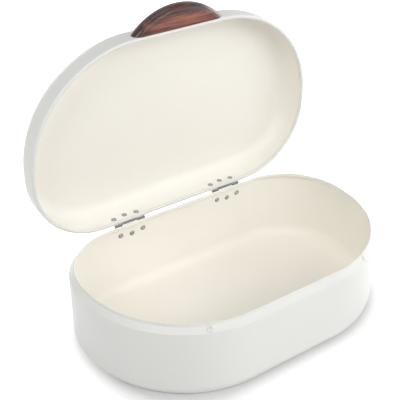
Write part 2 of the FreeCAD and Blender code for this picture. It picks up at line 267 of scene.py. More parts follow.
# ---- finishes --------------------------------------------------------------
@dataclass(frozen=True)
class PowderCoat:
    """Polyester powder coat on steel sheet, drawn white outside and lighter, creamier inside as
    painted light.

    Satin gloss with the faint orange peel of melted powder, over sheet that the
    press leaves very slightly wavy, so highlights are soft and a little uneven.
    """

    outside: str = "#E6E7E3"
    # painted light: the inner faces are drawn lighter and creamier than the outer paint, for
    # the light bounced about inside the box
    inside: str = "#F8F5ED"
    cloud_mm: float = 60.0      # patches in which tone and gloss drift a little
    tone_drift: tuple[float, float] = (0.98, 1.01)
    roughness: float = 0.36
    roughness_drift: float = 0.04
    specular: float = 0.3
    peel_mm: float = 4.0        # real peel is 1 to 2 mm, drawn coarser so that it shows
    peel_high: float = 0.006
    wave_mm: float = 85.0
    wave_high: float = 0.10

    def material(self) -> bpy.types.Material:
        """Build the coat as a material.

        Returns:
            The material, lighter and creamier on the faces marked as inside, as painted light.
        """
        material, tree, place = new_material("powder coat on steel sheet")
        within = add(tree, "ShaderNodeAttribute", attribute_name=INSIDE)
        # the mix to the inner colour paints the interior's bounced light onto the inner faces
        coat = add(tree, "ShaderNodeMix",
                   {"Factor": within.outputs["Fac"], 6: linear(self.outside),
                    7: linear(self.inside)}, data_type="RGBA")
        cloud = add(tree, "ShaderNodeTexNoise",
                    {"Vector": place, "Scale": 1 / (self.cloud_mm * MM), "Detail": 3.0})
        thin = add(tree, "ShaderNodeMapRange",
                   {"Value": cloud.outputs["Fac"], "To Min": self.tone_drift[0],
                    "To Max": self.tone_drift[1]})
        tone = add(tree, "ShaderNodeMix",
                   {"Factor": 1.0, 6: coat.outputs[2], 7: thin.outputs["Result"]},
                   data_type="RGBA", blend_type="MULTIPLY")
        gloss = add(tree, "ShaderNodeMapRange",
                    {"Value": cloud.outputs["Fac"],
                     "To Min": self.roughness - self.roughness_drift,
                     "To Max": self.roughness + self.roughness_drift})
        wave = add(tree, "ShaderNodeTexNoise",
                   {"Vector": place, "Scale": 1 / (self.wave_mm * MM), "Detail": 0.0})
        wavy = add(tree, "ShaderNodeBump",
                   {"Height": wave.outputs["Fac"], "Strength": 1.0,
                    "Distance": self.wave_high * MM})
        peel = add(tree, "ShaderNodeTexNoise",
                   {"Vector": place, "Scale": 1 / (self.peel_mm * MM), "Detail": 1.0,
                    "Roughness": 0.4})
        bump = add(tree, "ShaderNodeBump",
                   {"Height": peel.outputs["Fac"], "Strength": 1.0,
                    "Distance": self.peel_high * MM, "Normal": wavy.outputs["Normal"]})
        paint = add(tree, "ShaderNodeBsdfPrincipled",
                    {"Base Color": tone.outputs[2], "Roughness": gloss.outputs["Result"],
                     "IOR": 1.5, "Specular IOR Level": self.specular,
                     "Normal": bump.outputs["Normal"]})
        add(tree, "ShaderNodeOutputMaterial", {"Surface": paint.outputs[0]})
        return material


@dataclass(frozen=True)
class VarnishedWalnut:
    """Red-brown walnut, sanded and varnished.

    Dark streaks and fine open pores run along the length under a clear glossy
    coat that gives the ridge a sharp highlight.
    """

    light: str = "#9C5C49"
    middle: str = "#6E382B"
    dark: str = "#2E130E"
    middle_stop: float = 0.45
    streak_mm: float = 3.2      # across the grain
    bend_mm: float = 16.0       # broad bands that the streaks gather in
    pore_mm: float = 0.9        # real pores are finer, drawn coarser so that they show
    stretch: float = 14.0       # how much longer than wide a streak is
    tilt: tuple[float, float, float] = (0.0, 0.06, 0.09)        # radians, grain off the length
    board: tuple[float, float, float] = (0.0, 0.063, 0.012)     # metres, where the grip is cut
    bow: tuple[float, float, float] = (0.0, 0.0, 0.2857)        # metres, middle of the arc
    edge: tuple[float, float] = (0.068, 0.084)      # metres from it, between which the wood is drawn darker towards the rounded edge
    edge_deep: float = 0.23
    figure_range: tuple[float, float] = (0.74, 1.16)
    pore_range: tuple[float, float] = (0.30, 0.46)
    pore_tone: float = 0.55
    pore_deep: float = 0.02
    roughness: float = 0.42
    specular: float = 0.2
    varnish: float = 0.45
    varnish_roughness: float = 0.16

    def figure(self, tree: bpy.types.NodeTree, place: bpy.types.NodeSocket,
               along: bpy.types.NodeSocket) -> bpy.types.NodeSocket:
        """Return the streaks of the wood, darker towards the grip's rounded edge.

        Args:
            tree: the material's tree.
            place: Object coordinates.
            along: Object coordinates, stretched along the grain.

        Returns:
            A value from 0, darkest, to 1, lightest.
        """
        bend = add(tree, "ShaderNodeTexNoise",
                   {"Vector": along, "Scale": 1 / (self.bend_mm * MM), "Detail": 2.0})
        streaks = add(tree, "ShaderNodeTexNoise",
                      {"Vector": along, "Scale": 1 / (self.streak_mm * MM), "Detail": 5.0,
                       "Roughness": 0.62, "Distortion": 0.6})
        both = add(tree, "ShaderNodeMath",
                   {0: streaks.outputs["Fac"], 1: bend.outputs["Fac"]}, operation="ADD")
        out = add(tree, "ShaderNodeVectorMath", {0: place, 1: self.bow}, operation="SUBTRACT")
        flat = add(tree, "ShaderNodeVectorMath", {0: out.outputs[0], 1: (1.0, 0.0, 1.0)},
                   operation="MULTIPLY")
        away = add(tree, "ShaderNodeVectorMath", {0: flat.outputs[0]}, operation="LENGTH")
        # the wood is drawn darker towards the grip's rounded edge
        edge_darkening = add(tree, "ShaderNodeMapRange",
                    {"Value": away.outputs["Value"], "From Min": self.edge[0],
                     "From Max": self.edge[1], "To Max": self.edge_deep})
        edge_darkened = add(tree, "ShaderNodeMath",
                      {0: both.outputs[0], 1: edge_darkening.outputs["Result"]}, operation="SUBTRACT")
        return add(tree, "ShaderNodeMapRange",
                   {"Value": edge_darkened.outputs[0], "From Min": self.figure_range[0],
                    "From Max": self.figure_range[1]}).outputs["Result"]

    def material(self) -> bpy.types.Material:
        """Build the wood as a material.

        Returns:
            The material, with its grain along X.
        """
        material, tree, place = new_material("varnished walnut")
        along = add(tree, "ShaderNodeMapping",
                    {"Vector": place, "Scale": (1 / self.stretch, 1.0, 1.0),
                     "Rotation": self.tilt, "Location": self.board}).outputs[0]
        tone = add(tree, "ShaderNodeValToRGB", {"Fac": self.figure(tree, place, along)})
        stops = tone.color_ramp.elements
        stops.new(self.middle_stop)
        for stop, colour in zip(stops, (self.dark, self.middle, self.light)):
            stop.color = linear(colour)
        pores = add(tree, "ShaderNodeTexNoise",
                    {"Vector": along, "Scale": 1 / (self.pore_mm * MM), "Detail": 1.0})
        open_pores = add(tree, "ShaderNodeMapRange",
                         {"Value": pores.outputs["Fac"], "From Min": self.pore_range[0],
                          "From Max": self.pore_range[1], "To Min": self.pore_tone})
        wood = add(tree, "ShaderNodeMix",
                   {"Factor": 1.0, 6: tone.outputs["Color"], 7: open_pores.outputs["Result"]},
                   data_type="RGBA", blend_type="MULTIPLY")
        bump = add(tree, "ShaderNodeBump",
                   {"Height": open_pores.outputs["Result"], "Strength": 0.5,
                    "Distance": self.pore_deep * MM})
        gloss = add(tree, "ShaderNodeBsdfPrincipled",
                    {"Base Color": wood.outputs[2], "Roughness": self.roughness, "IOR": 1.5,
                     "Specular IOR Level": self.specular, "Coat Weight": self.varnish,
                     "Coat Roughness": self.varnish_roughness,
                     "Normal": bump.outputs["Normal"]})
        add(tree, "ShaderNodeOutputMaterial", {"Surface": gloss.outputs[0]})
        return material


@dataclass(frozen=True)
class PlatedSteel:
    """Plated steel, with the fine lines of rolling or turning left in it.

    The lines break up the reflections, and dull patches keep it from looking new.
    """

    name: str
    colour: str
    dull: str
    roughness: float
    roughness_drift: float = 0.1
    patch_mm: float = 5.0
    line_mm: float = 0.5
    line_deep: float = 0.02
    stretch: tuple[float, float, float] = (0.05, 1.0, 1.0)

    def material(self) -> bpy.types.Material:
        """Build the metal as a material.

        Returns:
            The material, with its lines along X.
        """
        material, tree, place = new_material(self.name)
        patch = add(tree, "ShaderNodeTexNoise",
                    {"Vector": place, "Scale": 1 / (self.patch_mm * MM), "Detail": 3.0})
        tone = add(tree, "ShaderNodeMix",
                   {"Factor": patch.outputs["Fac"], 6: linear(self.colour),
                    7: linear(self.dull)}, data_type="RGBA")
        along = add(tree, "ShaderNodeMapping", {"Vector": place, "Scale": self.stretch})
        lines = add(tree, "ShaderNodeTexNoise",
                    {"Vector": along.outputs[0], "Scale": 1 / (self.line_mm * MM),
                     "Detail": 2.0})
        rough = add(tree, "ShaderNodeMapRange",
                    {"Value": lines.outputs["Fac"],
                     "To Min": self.roughness - self.roughness_drift,
                     "To Max": self.roughness + self.roughness_drift})
        bump = add(tree, "ShaderNodeBump",
                   {"Height": lines.outputs["Fac"], "Strength": 0.4,
                    "Distance": self.line_deep * MM})
        metal = add(tree, "ShaderNodeBsdfPrincipled",
                    {"Base Color": tone.outputs[2], "Metallic": 1.0,
                     "Roughness": rough.outputs["Result"], "Normal": bump.outputs["Normal"]})
        add(tree, "ShaderNodeOutputMaterial", {"Surface": metal.outputs[0]})
        return material


@dataclass(frozen=True)
class ClearSilicone:
    """Clear cast silicone: soft glossy domes, a little milky over the paint."""

    colour: str = "#EBECE9"
    roughness: float = 0.16
    ior: float = 1.41
    clear: float = 0.75
    skin_mm: float = 2.0        # faint waves of the casting's skin
    skin_high: float = 0.02

    def material(self) -> bpy.types.Material:
        """Build the silicone as a material.

        Returns:
            The material.
        """
        material, tree, place = new_material("clear silicone")
        skin = add(tree, "ShaderNodeTexNoise",
                   {"Vector": place, "Scale": 1 / (self.skin_mm * MM), "Detail": 1.0})
        bump = add(tree, "ShaderNodeBump",
                   {"Height": skin.outputs["Fac"], "Strength": 0.5,
                    "Distance": self.skin_high * MM})
        clear = add(tree, "ShaderNodeBsdfPrincipled",
                    {"Base Color": linear(self.colour), "Roughness": self.roughness,
                     "IOR": self.ior, "Transmission Weight": self.clear,
                     "Normal": bump.outputs["Normal"]})
        add(tree, "ShaderNodeOutputMaterial", {"Surface": clear.outputs[0]})
        return material


# ---- bent sheet and turned parts -------------------------------------------
@dataclass(frozen=True)
class Step:
    """One stretch of a section line: a straight run, or a bend if angle isn't 0."""

    size: float                 # length of the run, or radius of the bend
    angle: float = 0.0          # degrees, to the left if positive


@dataclass(frozen=True)
class BentSheet:
    """Section of a sheet that follows a line of runs and bends to a round tip."""

    start: Point
    heading: float              # degrees
    steps: tuple[Step, ...]
    thick: float                # to the left of the line if positive
    bend_step: float = 6.0      # degrees between points in a bend
    support: float = 0.6        # distance of the extra point next to a bend
    tip_steps: int = 6          # faces round the tip

    def spots(self) -> list[tuple[float, float, float]]:
        """Follow the line from its start to its end.

        Returns:
            Places and directions along it, as (u, v, angle).
        """
        u, v = self.start
        turn = math.radians(self.heading)
        found = []
        for step in self.steps:
            if step.angle:
                radius, sweep = math.copysign(step.size, step.angle), math.radians(step.angle)
                cu, cv = u - radius * math.sin(turn), v + radius * math.cos(turn)
                count = max(3, math.ceil(abs(step.angle) / self.bend_step))
                angles = [turn + sweep * k / count for k in range(count + 1)]
                found += [(cu + radius * math.sin(a), cv - radius * math.cos(a), a)
                          for a in angles[:-1]]
                turn = angles[-1]
                u, v = cu + radius * math.sin(turn), cv - radius * math.cos(turn)
            else:
                near = min(self.support, step.size / 3)
                for at in (0.0, near, step.size - near):
                    found.append((u + at * math.cos(turn), v + at * math.sin(turn), turn))
                u, v = u + step.size * math.cos(turn), v + step.size * math.sin(turn)
        return found + [(u, v, turn)]

    def outline(self) -> list[Point]:
        """Go along one face, round the tip and back on the other face.

        Returns:
            The points passed.
        """
        spots = self.spots()
        near = [(u, v) for u, v, _ in spots]
        far = [(u - self.thick * math.sin(a), v + self.thick * math.cos(a))
               for u, v, a in spots]
        (pu, pv), (qu, qv), turn = near[-1], far[-1], spots[-1][2]
        half = abs(self.thick) / 2
        tip = []
        for k in range(1, self.tip_steps):
            swing = math.pi * k / self.tip_steps
            share = (1 - math.cos(swing)) / 2
            tip.append((pu + (qu - pu) * share + half * math.sin(swing) * math.cos(turn),
                        pv + (qv - pv) * share + half * math.sin(swing) * math.sin(turn)))
        return near + tip + far[::-1]

    def mesh(self, name: str) -> bpy.types.Mesh:
        """Lay the outline in the XY plane as edges.

        Args:
            name: name of the mesh.

        Returns:
            The mesh, its vertices marked by the face that they lie on.
        """
        points = self.outline()
        mesh = mesh_of(name, [(u, v, 0.0) for u, v in points], [],
                       [(k, k + 1) for k in range(len(points) - 1)])
        mark = mesh.attributes.new(INSIDE, "FLOAT", "POINT")
        face = len(self.spots())
        for k, value in enumerate(mark.data):
            value.value = min(1.0, max(0.0, (k - face + 1) / (len(points) - 2 * face + 1)))
        return mesh


@dataclass(frozen=True)
class Plan:
    """Outline of the box from above: two wide front corners and two rear ones."""

    length: float = 400.0
    width: float = 240.5
    rear_corner: float = 89.5
    end_run: float = 11.0
    spacing: float = 3.0        # between the places where the section stands
    corner_steps: int = 90      # along each corner, before the spacing is evened out

    @property
    def front_corner(self) -> float:
        """Radius of the front corners, which take up what the ends leave."""
        return self.width - self.rear_corner - self.end_run

    def tree(self) -> bpy.types.NodeTree:
        """Build the Geometry Nodes tree that carries a section round the plan.

        Returns:
            The tree, which takes the section as its geometry.
        """
        tree, given = new_tree("carry section round plan",
                               {"Length": "Float", "Width": "Float", "Rear Corner": "Float",
                                "Front Corner": "Float", "Spacing": "Float"})
        square = add(tree, "GeometryNodeCurvePrimitiveQuadrilateral",
                     {"Width": given["Length"], "Height": given["Width"]})
        # the rectangle's corners 0 and 1 are the rear ones
        number = add(tree, "GeometryNodeInputIndex")
        rear = add(tree, "FunctionNodeCompare", {2: number.outputs[0], 3: 2},
                   data_type="INT", operation="LESS_THAN")
        radius = add(tree, "GeometryNodeSwitch",
                     {"Switch": rear.outputs[0], "False": given["Front Corner"],
                      "True": given["Rear Corner"]}, input_type="FLOAT")
        oval = add(tree, "GeometryNodeFilletCurve",
                   {"Curve": square.outputs[0], "Count": self.corner_steps,
                    "Radius": radius.outputs[0]}, mode="POLY")
        even = add(tree, "GeometryNodeResampleCurve",
                   {"Curve": oval.outputs[0], "Length": given["Spacing"]}, mode="LENGTH")
        level = add(tree, "GeometryNodeSetCurveNormal", {"Curve": even.outputs[0]},
                    mode="Z_UP")
        line = add(tree, "GeometryNodeMeshToCurve", {"Mesh": given["Geometry"]})
        stood = add(tree, "GeometryNodeTransform",
                    {"Geometry": line.outputs[0], "Rotation": (0.0, 0.0, math.pi)})
        wall = add(tree, "GeometryNodeCurveToMesh",
                   {"Curve": level.outputs[0], "Profile Curve": stood.outputs[0]})
        return close_tree(tree, wall.outputs[0], given["Finish"])

    def carry(self, name: str, section: BentSheet, grow: float, tree: bpy.types.NodeTree,
              finish: bpy.types.Material) -> bpy.types.Object:
        """Carry a section round the plan and close the plate in the middle.

        Args:
            name: name of the piece.
            section: the section, as distance inwards and height.
            grow: how far the section's zero lies outside the plan.
            tree: the tree that this class makes.
            finish: the material of the piece.

        Returns:
            The finished shell.
        """
        values = {"Length": (self.length + 2 * grow) * MM,
                  "Width": (self.width + 2 * grow) * MM,
                  "Rear Corner": (self.rear_corner + grow) * MM,
                  "Front Corner": (self.front_corner + grow) * MM,
                  "Spacing": self.spacing * MM, "Finish": finish}
        piece = run_tree(tree, name, section.mesh(name + "_section"), values)
        tidy_mesh(piece.data)
        return piece


def turned(name: str, outline: list[Point], steps: int = 40,
           axis: Vector = Vector((0, 1, 0))) -> bpy.types.Mesh:
    """Turn an outline into a closed solid.

    Args:
        name: name of the mesh.
        outline: (radius, height) points from pole to pole.
        steps: number of faces round the axis.
        axis: direction of growing height.

    Returns:
        The mesh, with its zero height at the origin.
    """
    upright = Vector((0, 0, 1)).rotation_difference(axis)
    spots, rows = [], []
    for radius, height in outline:
        count = steps if radius > TINY else 1
        rows.append(list(range(len(spots), len(spots) + count)))
        for k in range(count):
            angle = FULL_TURN * k / steps
            spots.append(upright @ Vector((radius * math.cos(angle), radius * math.sin(angle),
                                           height)))
    faces = []
    for low, high in zip(rows, rows[1:]):
        for k in range(steps):
            ring = [low[k % len(low)], low[(k + 1) % len(low)],
                    high[(k + 1) % len(high)], high[k % len(high)]]
            faces.append(tuple(dict.fromkeys(ring)))
    mesh = mesh_of(name, spots, faces)
    tidy_mesh(mesh, smooth_below=TURNED_EDGE)
    return mesh


def arc_points(start: Point, through: Point, end: Point, count: int) -> list[Point]:
    """Return points on the circular arc from start through a point to end.

    Args:
        start: first point, left out of the result.
        through: a point on the arc.
        end: last point.
        count: number of steps.

    Returns:
        The points after the first one.
    """
    (ax, ay), (bx, by), (cx, cy) = start, through, end
    double = 2 * (ax * (by - cy) + bx * (cy - ay) + cx * (ay - by))
    a2, b2, c2 = ax * ax + ay * ay, bx * bx + by * by, cx * cx + cy * cy
    mx = (a2 * (by - cy) + b2 * (cy - ay) + c2 * (ay - by)) / double
    my = (a2 * (cx - bx) + b2 * (ax - cx) + c2 * (bx - ax)) / double
    first, middle, last = (math.atan2(y - my, x - mx) for x, y in (start, through, end))
    sweep = (last - first) % FULL_TURN
    if (middle - first) % FULL_TURN > sweep:
        sweep -= FULL_TURN
    radius = math.hypot(ax - mx, ay - my)
    angles = [first + sweep * k / count for k in range(1, count + 1)]
    return [(mx + radius * math.cos(a), my + radius * math.sin(a)) for a in angles]


def dome_points(radius: float, low: float, high: float, count: int) -> list[Point]:
    """Return points up a round dome, from its edge to its top on the axis.

    Args:
        radius: radius of the dome's edge.
        low: height of its edge.
        high: height of its top.
        count: number of steps.

    Returns:
        The points after the one on the edge.
    """
    rise, half = high - low, radius / 2
    ball = (radius ** 2 + rise ** 2) / (2 * rise)
    middle = (half, high - ball + math.sqrt(ball ** 2 - half ** 2))
    return arc_points((radius, low), middle, (0.0, high), count)


def fastener_tree() -> bpy.types.NodeTree:
    """Build the Geometry Nodes tree that sets fasteners out in groups along X.

    Returns:
        The tree, which takes one fastener as its geometry.
    """
    tree, given = new_tree("fasteners in groups",
                           {"Groups": "Int", "Group Spacing": "Float", "Count": "Int",
                            "Pitch": "Float", "Middle Step": "Float", "Place": "Vector",
                            "Seed": "Int"})
    lines = []
    for count, gap in (("Count", "Pitch"), ("Groups", "Group Spacing")):
        gaps = add(tree, "ShaderNodeMath", {0: given[count], 1: 1.0}, operation="SUBTRACT")
        long = add(tree, "ShaderNodeMath", {0: gaps.outputs[0], 1: given[gap]},
                   operation="MULTIPLY")
        first = add(tree, "ShaderNodeMath", {0: long.outputs[0], 1: -0.5},
                    operation="MULTIPLY")
        start = add(tree, "ShaderNodeCombineXYZ", {"X": first.outputs[0]})
        step = add(tree, "ShaderNodeCombineXYZ", {"X": given[gap]})
        lines.append(add(tree, "GeometryNodeMeshLine",
                         {"Count": given[count], "Offset": step.outputs[0],
                          "Start Location": start.outputs[0]}).outputs[0])
    number = add(tree, "GeometryNodeInputIndex")
    middle = add(tree, "FunctionNodeCompare", {2: number.outputs[0], 3: 1},
                 data_type="INT", operation="EQUAL")
    sideways = add(tree, "ShaderNodeCombineXYZ", {"Z": given["Middle Step"]})
    row = add(tree, "GeometryNodeSetPosition",
              {"Geometry": lines[0], "Selection": middle.outputs[0],
               "Offset": sideways.outputs[0]})
    rows = add(tree, "GeometryNodeInstanceOnPoints",
               {"Points": lines[1], "Instance": row.outputs[0]})
    spots = add(tree, "GeometryNodeRealizeInstances", {"Geometry": rows.outputs[0]})
    # each fastener stands at its own turn about its axis
    turn = add(tree, "FunctionNodeRandomValue",
               {2: 0.0, 3: FULL_TURN, "Seed": given["Seed"]})
    spin = add(tree, "ShaderNodeCombineXYZ", {"Y": turn.outputs[1]})
    fasteners = add(tree, "GeometryNodeInstanceOnPoints",
                    {"Points": spots.outputs[0], "Instance": given["Geometry"],
                     "Rotation": spin.outputs[0]})
    placed = add(tree, "GeometryNodeTransform",
                 {"Geometry": fasteners.outputs[0], "Translation": given["Place"]})
    return close_tree(tree, placed.outputs[0], given["Finish"])


# ---- the box ---------------------------------------------------------------
@dataclass(frozen=True)
class HingeLine:
    """Where the lid turns, and how far it is turned back at rest."""

    y: float = 123.6
    z: float = 97.4
    open_angle: float = 87.0

    def opened(self) -> Matrix:
        """Work out how the lid is turned back.

        Returns:
            The turn from the closed lid to where it rests open, in metres.
        """
        place = Vector((0, self.y, self.z)) * MM
        turn = Matrix.Rotation(math.radians(-self.open_angle), 4, "X")
        return Matrix.Translation(place) @ turn @ Matrix.Translation(-place)


@dataclass
class Shells:
    """The body and the lid, each drawn from one sheet of steel."""

    plan: Plan = field(default_factory=Plan)
    hinge: HingeLine = field(default_factory=HingeLine)
    sheet: float = 0.9
    crease: float = 93.0            # table to the crease under the shoulder
    floor_radius: float = 16.0
    crease_radius: float = 1.2
    shoulder_in: float = 6.5
    shoulder_rise: float = 5.5
    lip_height: float = 3.8
    lip_bend: float = 0.5
    flat: float = 4.0               # flat edge of the plate in the middle
    lid_outset: float = 2.0
    lid_lift: float = 3.6
    bead: float = 4.8
    bead_gap: float = 0.35
    lid_wall: float = 18.5
    lid_corner: float = 21.0
    crown_angle: float = 5.0
    crown_share: float = 0.8

    def body_section(self) -> BentSheet:
        """Draw the body: floor, wall, sloped shoulder and upright lip.

        Returns:
            The section, from the plate in the middle to the lip's tip.
        """
        slope = math.degrees(math.atan2(self.shoulder_rise, self.shoulder_in))
        tip = 90.0 - slope
        crease_cut = self.crease_radius * math.tan(math.radians(tip / 2))
        lip_cut = self.lip_bend * math.tan(math.radians(tip / 2))
        run = math.hypot(self.shoulder_in, self.shoulder_rise) - crease_cut - lip_cut
        steps = (Step(self.flat), Step(self.floor_radius, -90.0),
                 Step(self.crease - self.floor_radius - crease_cut),
                 Step(self.crease_radius, -tip), Step(run), Step(self.lip_bend, tip),
                 Step(self.lip_height - lip_cut - self.sheet / 2))
        return BentSheet((self.floor_radius + self.flat, 0.0), 180.0, steps, -self.sheet)

    def lid_section(self) -> BentSheet:
        """Draw the closed lid: crown, rounding, wall and rolled rim.

        Returns:
            The section, from the plate in the middle to the rim's inner end.
        """
        bead_r = self.bead / 2
        middle_r = bead_r - self.sheet / 2
        open_by = math.acos((middle_r - self.sheet - self.bead_gap) / middle_r)
        roll = 360.0 - math.degrees(open_by)
        flat_edge = self.crown_share * self.plan.rear_corner
        crown = math.radians(self.crown_angle)
        crown_radius = (flat_edge - self.lid_corner * (1 - math.sin(crown))) / math.sin(crown)
        top = (self.crease + self.lid_lift + self.lid_wall + self.lid_corner * math.cos(crown)
               + crown_radius * (1 - math.cos(crown)))
        steps = (Step(self.flat), Step(crown_radius, self.crown_angle),
                 Step(self.lid_corner, 90.0 - self.crown_angle), Step(self.lid_wall - bead_r),
                 Step(bead_r, roll))
        return BentSheet((flat_edge + self.flat, top), 180.0, steps, self.sheet)

    def build(self, finish: bpy.types.Material) -> None:
        """Build both shells and dress them in the coat.

        Args:
            finish: the coat.
        """
        tree = self.plan.tree()
        body = self.plan.carry("body_shell", self.body_section(), 0.0, tree, finish)
        settle(body, Body.BASE, Slot.ENAMEL, "base_shell")
        lid = self.plan.carry("lid_dish", self.lid_section(), self.lid_outset, tree, finish)
        lid.data.transform(self.hinge.opened())
        settle(lid, Body.LID, Slot.ENAMEL, "lid_shell")


@dataclass
class Grip:
    """Half-moon wooden grip on the lid's front, and the two screws that hold it."""

    hinge: HingeLine = field(default_factory=HingeLine)
    wall_y: float = -122.25         # outer face of the lid's front wall
    low: float = 97.6               # flat underside of the closed lid's grip
    thick: float = 18.0
    chord: float = 124.0
    reach: float = 27.0
    rounding: float = 8.1
    arc_steps: int = 96
    round_steps: int = 10
    screw_pitch: float = 44.0
    screw: float = 4.0
    head: float = 7.6
    head_high: float = 2.4
    head_edge: float = 1.1
    head_steps: int = 8             # from the head's edge to its middle
    sheet: float = 0.9
    depth: float = 14.0             # screw in the wood
    point: float = 1.0              # length of its blunt point
    slot: Point = (0.8, 4.4)        # one arm of the cross
    slot_deep: float = 1.3
    back: float = 1.0               # ring of flat face inside the rounding
    edge: float = 40.0              # degrees, above which an edge of the wood stays sharp
    seed: int = 4

    def wood(self) -> bpy.types.Mesh:
        """Build the grip from rows of arcs that close in as its edges round over.

        Returns:
            The closed lid's grip.
        """
        radius = ((self.chord / 2) ** 2 + self.reach ** 2) / (2 * self.reach)
        behind = radius - self.reach
        quarter = [math.pi / 2 * k / self.round_steps for k in range(self.round_steps + 1)]
        side = [(self.rounding * (1 - math.sin(a)), self.rounding * (1 - math.cos(a)))
                for a in quarter]
        profile = [(self.rounding + self.back, 0.0)] + side
        profile += [(inset, self.thick - up) for inset, up in profile[::-1]]
        spots = []
        for inset, up in profile:
            swing = math.acos(behind / (radius - inset))
            for k in range(self.arc_steps + 1):
                angle = swing * (2 * k / self.arc_steps - 1)
                spots.append(Vector(((radius - inset) * math.sin(angle),
                                     self.wall_y + behind - (radius - inset) * math.cos(angle),
                                     self.low + up)))
        row = self.arc_steps + 1
        faces = [(r * row + k, r * row + k + 1, (r + 1) * row + k + 1, (r + 1) * row + k)
                 for r in range(len(profile) - 1) for k in range(self.arc_steps)]
        last = (len(profile) - 1) * row
        faces += [tuple(range(row)), tuple(range(last, last + row))]
        mesh = mesh_of("lid_grip_wood", spots, faces)
        tidy_mesh(mesh, smooth_below=self.edge)
        return mesh

    def one_screw(self) -> bpy.types.Mesh:
        """Turn one pan-head screw and cut a cross into its head.

        Returns:
            The screw, with its head's seat at the origin and its head towards +Y.
        """
        head = self.head / 2
        start = (0.0, -self.sheet - self.depth)
        outline = [start, (self.screw / 4, start[1]),
                   (self.screw / 2, start[1] + self.point), (self.screw / 2, 0.0),
                   (head, 0.0), (head, self.head_edge)]
        outline += dome_points(head, self.head_edge, self.head_high, self.head_steps)
        screw = new_object("screw_seed", turned("screw_seed", outline))
        cuts = []
        for wide, tall in (self.slot, self.slot[::-1]):
            work = bmesh.new()
            size = Matrix.Diagonal((wide * MM, 2 * self.slot_deep * MM, tall * MM, 1.0))
            place = Matrix.Translation((0, self.head_high * MM, 0))
            bmesh.ops.create_cube(work, size=1.0, matrix=place @ size)
            cutter = new_object("slot_cutter", bpy.data.meshes.new("slot_cutter"))
            work.to_mesh(cutter.data)
            work.free()
            cut = screw.modifiers.new("slot", "BOOLEAN")
            cut.object, cut.operation, cut.solver = cutter, "DIFFERENCE", "EXACT"
            cuts.append(cutter)
        mesh = plain_mesh(screw)
        for thing in [screw, *cuts]:
            bpy.data.objects.remove(thing)
        tidy_mesh(mesh, smooth_below=TURNED_EDGE)
        return mesh

    def build(self, wood: bpy.types.Material, steel: bpy.types.Material,
              tree: bpy.types.NodeTree) -> None:
        """Build the grip and its screws and dress them.

        Args:
            wood: the grip's finish.
            steel: the screws' finish.
            tree: the tree that sets fasteners out.
        """
        grip = new_object("grip_wood", self.wood())
        grip.data.materials.append(wood)
        grip.data.transform(self.hinge.opened())
        settle(grip, Body.LID, Slot.WOOD, "lid_grip")
        place = Vector((0, self.wall_y + self.sheet, self.low + self.thick / 2)) * MM
        screws = run_tree(tree, "grip_screw_pair", self.one_screw(),
                          {"Groups": 1, "Group Spacing": 0.0, "Count": 2,
                           "Pitch": self.screw_pitch * MM, "Middle Step": 0.0,
                           "Place": place, "Seed": self.seed, "Finish": steel})
        screws.data.transform(self.hinge.opened())
        settle(screws, Body.LID, Slot.SCREW, "grip_screws")


@dataclass
class Hinges:
    """Two leaf hinges and the semi-tubular rivets that hold their leaves."""

    hinge: HingeLine = field(default_factory=HingeLine)
    x: float = 75.4
    pitch: float = 16.5
    body_row: float = 13.2          # hinge line to the outer rivets on the body
    lid_row: float = 11.4
    step: float = 2.0               # the middle rivet sits this much further out
    shank: float = 3.2
    head: float = 7.2
    head_high: float = 0.95
    bore: float = 1.8
    bore_deep: float = 0.7
    roll_high: float = 0.9
    roll_steps: int = 12
    head_steps: int = 8
    sheet: float = 0.9
    leaf: float = 0.6
    pin_play: float = 0.05          # the lid's leaf is thinner by it
    body_wall: float = 120.25
    lid_wall: float = 122.25
    seed: int = 7

    def one_rivet(self, leaf: float) -> bpy.types.Mesh:
        """Turn one set rivet: rolled hollow end inside, low head outside.

        Args:
            leaf: thickness of the leaf that it holds to the sheet.

        Returns:
            The rivet, with the sheet's inner face at the origin.
        """
        head, bore, stack = self.head / 2, self.bore / 2, self.sheet + leaf
        crest = ((bore + head) / 2 - bore / 8, -self.roll_high)
        outline = [(0.0, self.bore_deep), (bore, self.bore_deep), (bore, -self.roll_high / 2)]
        outline += arc_points(outline[-1], crest, (head, 0.0), self.roll_steps)
        outline += [(self.shank / 2, 0.0), (self.shank / 2, stack), (head, stack)]
        outline += dome_points(head, stack, stack + self.head_high, self.head_steps)
        return turned("rivet_seed", outline)

    def build(self, steel: bpy.types.Material, rivet_steel: bpy.types.Material,
              tree: bpy.types.NodeTree) -> None:
        """Dress the leaves and pins, and set the rivets.

        Args:
            steel: the finish of the leaves and pins.
            rivet_steel: the rivets' finish.
            tree: the tree that sets fasteners out.
        """
        for side in ("left", "right"):
            for part in ("base_leaf", "lid_leaf", "pin"):
                name = "hinge_%s_%s" % (side, part)
                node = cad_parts[name]
                node.data.materials.clear()
                node.data.materials.append(steel)
                LOG.info("%s keeps its CAD shape", name)
        for body, towards, wall, row in ((Body.BASE, -1, self.body_wall, self.body_row),
                                         (Body.LID, 1, self.lid_wall, self.lid_row)):
            place = Vector((0, wall - self.sheet, self.hinge.z + towards * row)) * MM
            leaf = self.leaf if body is Body.BASE else self.leaf - self.pin_play
            rivets = run_tree(tree, "rivets_" + body.value, self.one_rivet(leaf),
                              {"Groups": 2, "Group Spacing": 2 * self.x * MM, "Count": 3,
                               "Pitch": self.pitch * MM,
                               "Middle Step": towards * self.step * MM,
                               "Place": place, "Seed": self.seed, "Finish": rivet_steel})
            if body is Body.LID:
                rivets.data.transform(self.hinge.opened())
            settle(rivets, body, Slot.RIVET, "rivets_left_" + body.value,
                   "rivets_right_" + body.value)


